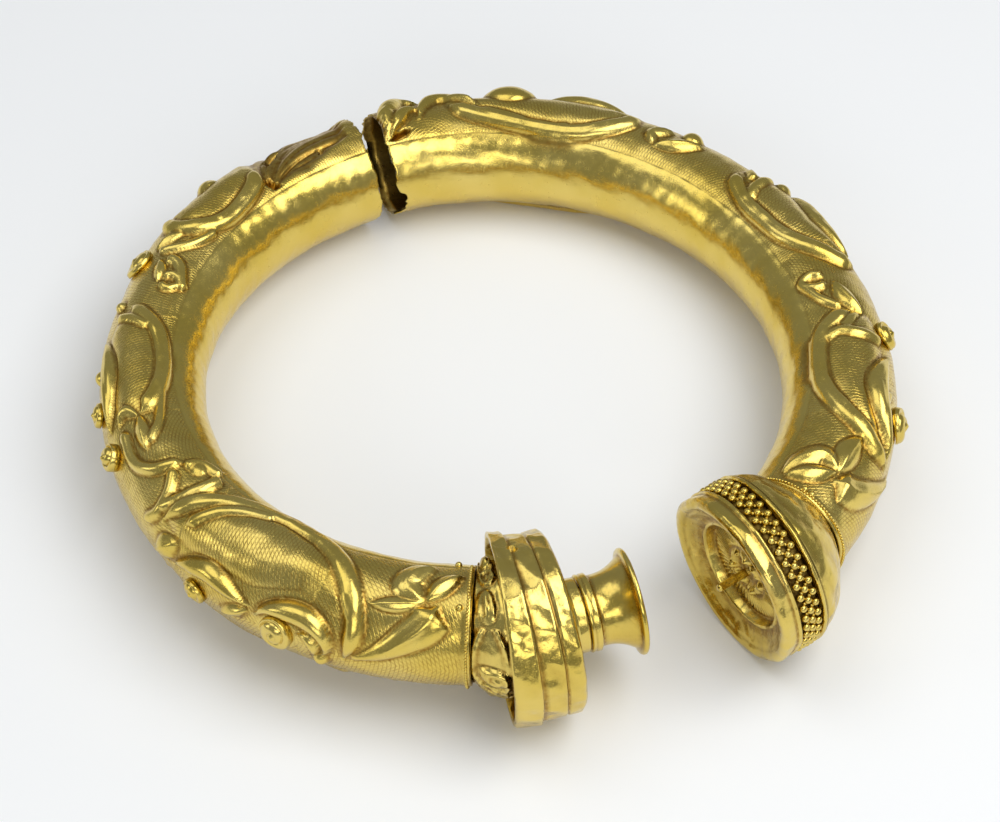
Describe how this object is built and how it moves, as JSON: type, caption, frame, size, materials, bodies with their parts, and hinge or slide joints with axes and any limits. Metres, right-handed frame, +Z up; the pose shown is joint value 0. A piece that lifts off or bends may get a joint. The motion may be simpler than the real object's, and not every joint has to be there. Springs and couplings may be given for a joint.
{
  "type": "celtic torc",
  "caption": "Celtic gold torc: hollow ring in halves with raised swirling leaf ornament, drum terminal with flared spool, cup terminal with beaded channel, broken open at the back.",
  "frame": {"origin": "centre of the footprint box at floor level, the torc lying flat as found", "axes": "+Z up from the floor, the gap between the terminals towards -Y, the drum terminal on the -X side of the gap"},
  "size_m": [0.1942, 0.2008, 0.0442],
  "materials": {
    "tube_gold": "worn polish",
    "cast_gold": "polished",
    "bead_gold": "polished, dark in the gaps"
  },
  "bodies": {
    "root": {"bead_band": "bead_gold", "cup_terminal": "cast_gold", "drum_terminal": "cast_gold", "left_tube": "tube_gold", "right_tube": "tube_gold", "snail_boss_left_1": "cast_gold", "snail_boss_left_2": "cast_gold", "snail_boss_left_3": "cast_gold", "snail_boss_left_4": "cast_gold", "snail_boss_left_5": "cast_gold", "snail_boss_right_1": "cast_gold", "snail_boss_right_2": "cast_gold", "snail_boss_right_3": "cast_gold", "tenon_spool": "cast_gold"}
  },
  "joints": []
}
